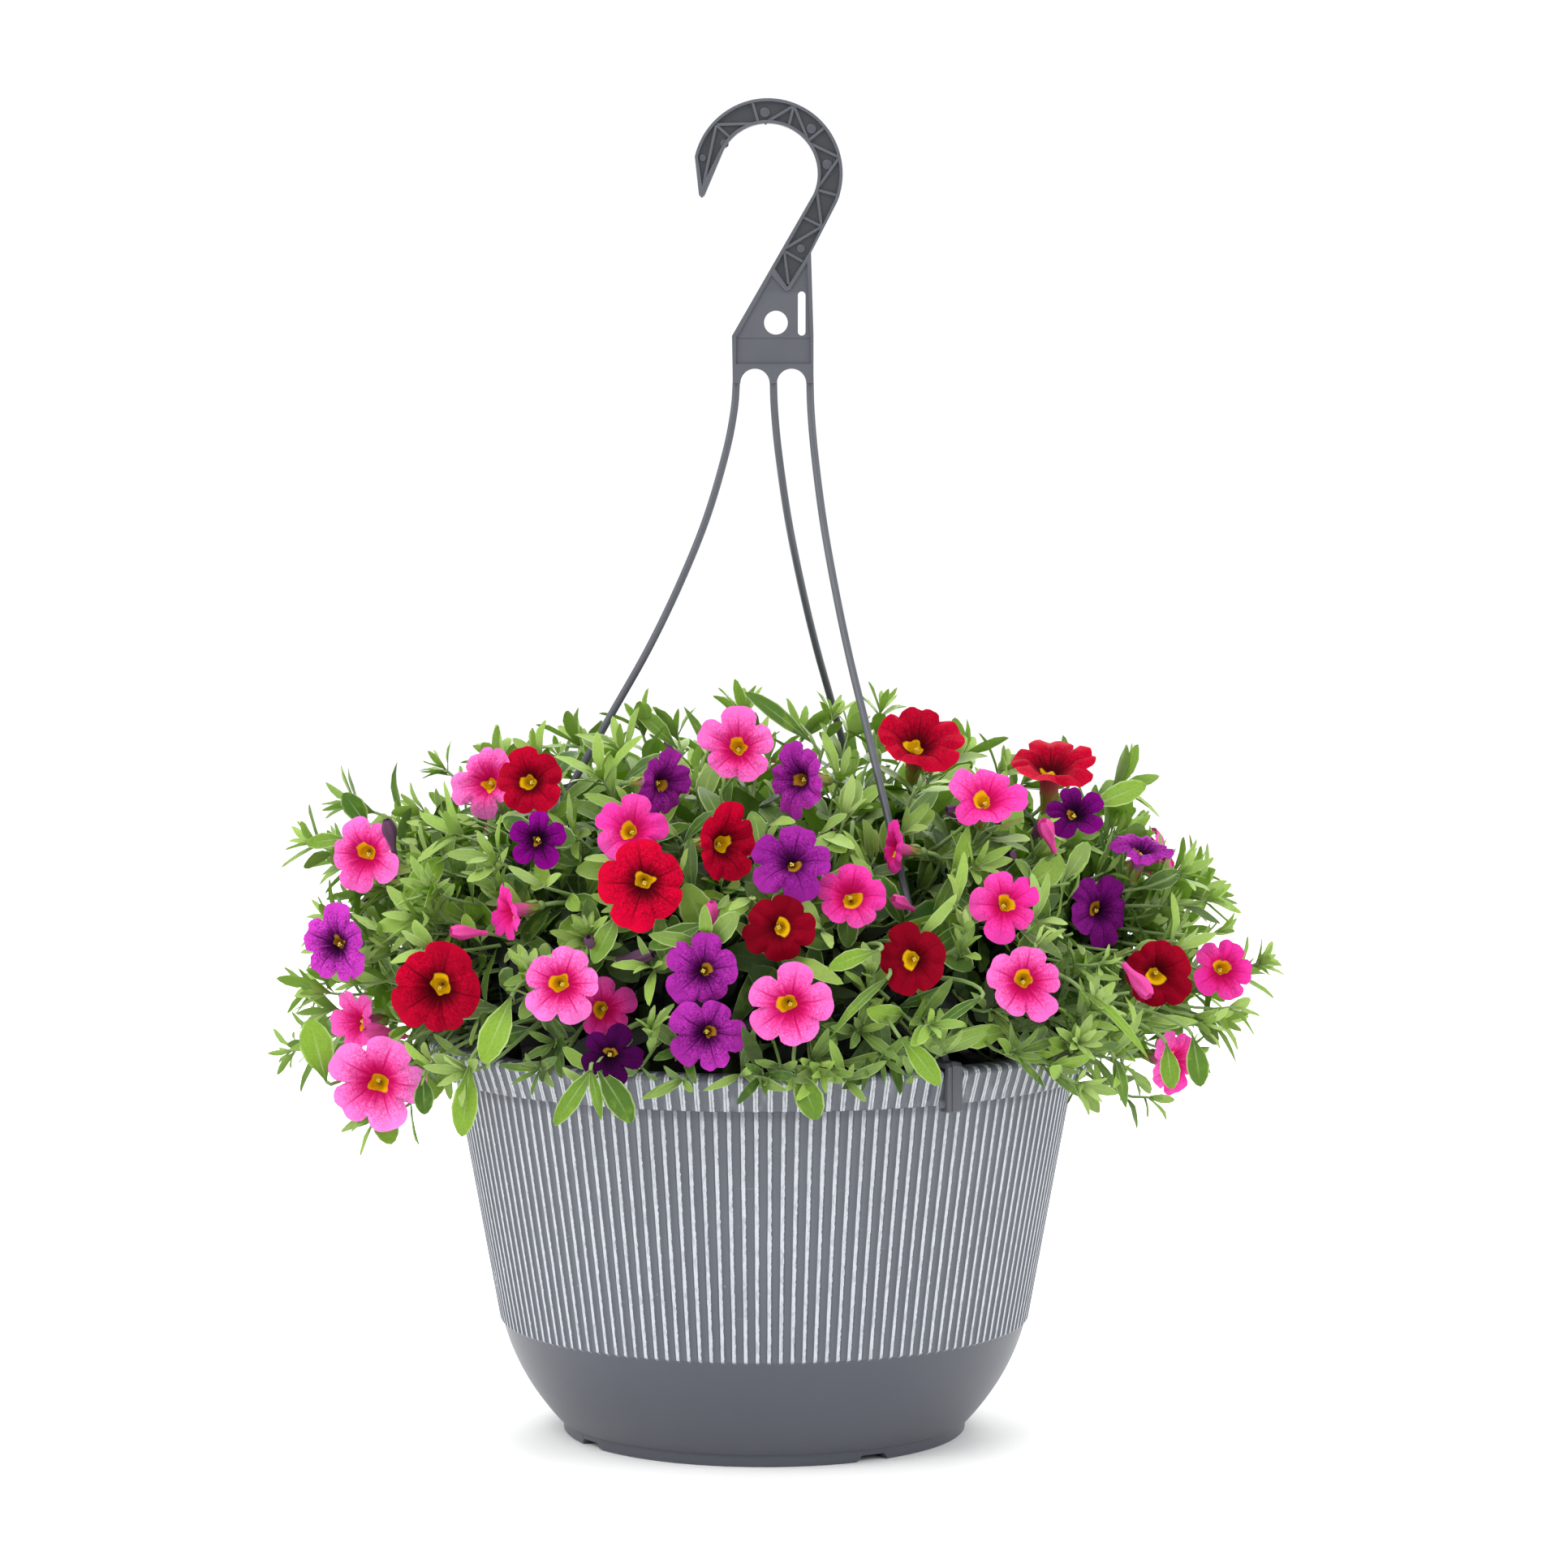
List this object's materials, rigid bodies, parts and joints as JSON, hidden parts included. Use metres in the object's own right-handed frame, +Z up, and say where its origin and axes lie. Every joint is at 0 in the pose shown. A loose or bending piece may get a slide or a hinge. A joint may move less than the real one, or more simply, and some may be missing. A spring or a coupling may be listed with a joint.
{
  "type": "calibrachoa hanging basket",
  "caption": "Hanging pot with a ribbed wall and turned rim, filled with bushy flowering calibrachoa, carried by a moulded hanger with arms, a plate and a hook.",
  "frame": {"origin": "centre of the foot plane, on the surface that the pot stands on", "axes": "+Z up; the open side of the hook faces -X and the side seen first faces -Y"},
  "size_m": [0.4076, 0.3555, 0.531],
  "materials": {
    "pot_plastic": "satin",
    "hanger_plastic": "satin",
    "potting_soil": "matte",
    "foliage": "matte",
    "petal_red": "matte",
    "petal_pink": "matte",
    "petal_violet": "matte",
    "petal_plum": "matte"
  },
  "bodies": {
    "root": {"pot": "pot_plastic", "hanger": "hanger_plastic", "soil": "potting_soil", "bloom_pink_a": "petal_pink", "bloom_pink_b": "petal_pink", "bloom_pink_back_a": "petal_pink", "bloom_pink_back_b": "petal_pink", "bloom_pink_back_c": "petal_pink", "bloom_pink_c": "petal_pink", "bloom_pink_d": "petal_pink", "bloom_pink_e": "petal_pink", "bloom_pink_f": "petal_pink", "bloom_pink_g": "petal_pink", "bloom_pink_h": "petal_pink", "bloom_pink_i": "petal_pink", "bloom_pink_j": "petal_pink", "bloom_pink_k": "petal_pink", "bloom_pink_l": "petal_pink", "bloom_pink_m": "petal_pink", "bloom_pink_n": "petal_pink", "bloom_pink_o": "petal_pink", "bloom_pink_p": "petal_pink", "bloom_pink_q": "petal_pink", "bloom_plum_a": "petal_plum", "bloom_plum_b": "petal_plum", "bloom_plum_back_a": "petal_plum", "bloom_plum_c": "petal_plum", "bloom_red_a": "petal_red", "bloom_red_b": "petal_red", "bloom_red_back_a": "petal_red", "bloom_red_back_b": "petal_red", "bloom_red_c": "petal_red", "bloom_red_d": "petal_red", "bloom_red_e": "petal_red", "bloom_red_f": "petal_red", "bloom_red_g": "petal_red", "bloom_red_h": "petal_red", "bloom_red_i": "petal_red", "bloom_violet_a": "petal_violet", "bloom_violet_b": "petal_violet", "bloom_violet_back_a": "petal_violet", "bloom_violet_back_b": "petal_violet", "bloom_violet_c": "petal_violet", "bloom_violet_d": "petal_violet", "bloom_violet_e": "petal_violet", "bloom_violet_f": "petal_violet", "bloom_violet_g": "petal_violet", "spray_01": "foliage", "spray_02": "foliage", "spray_03": "foliage", "spray_04": "foliage", "spray_05": "foliage", "spray_06": "foliage", "spray_07": "foliage", "spray_08": "foliage", "spray_09": "foliage", "spray_10": "foliage", "spray_11": "foliage", "spray_12": "foliage", "spray_centre": "foliage"}
  },
  "joints": []
}
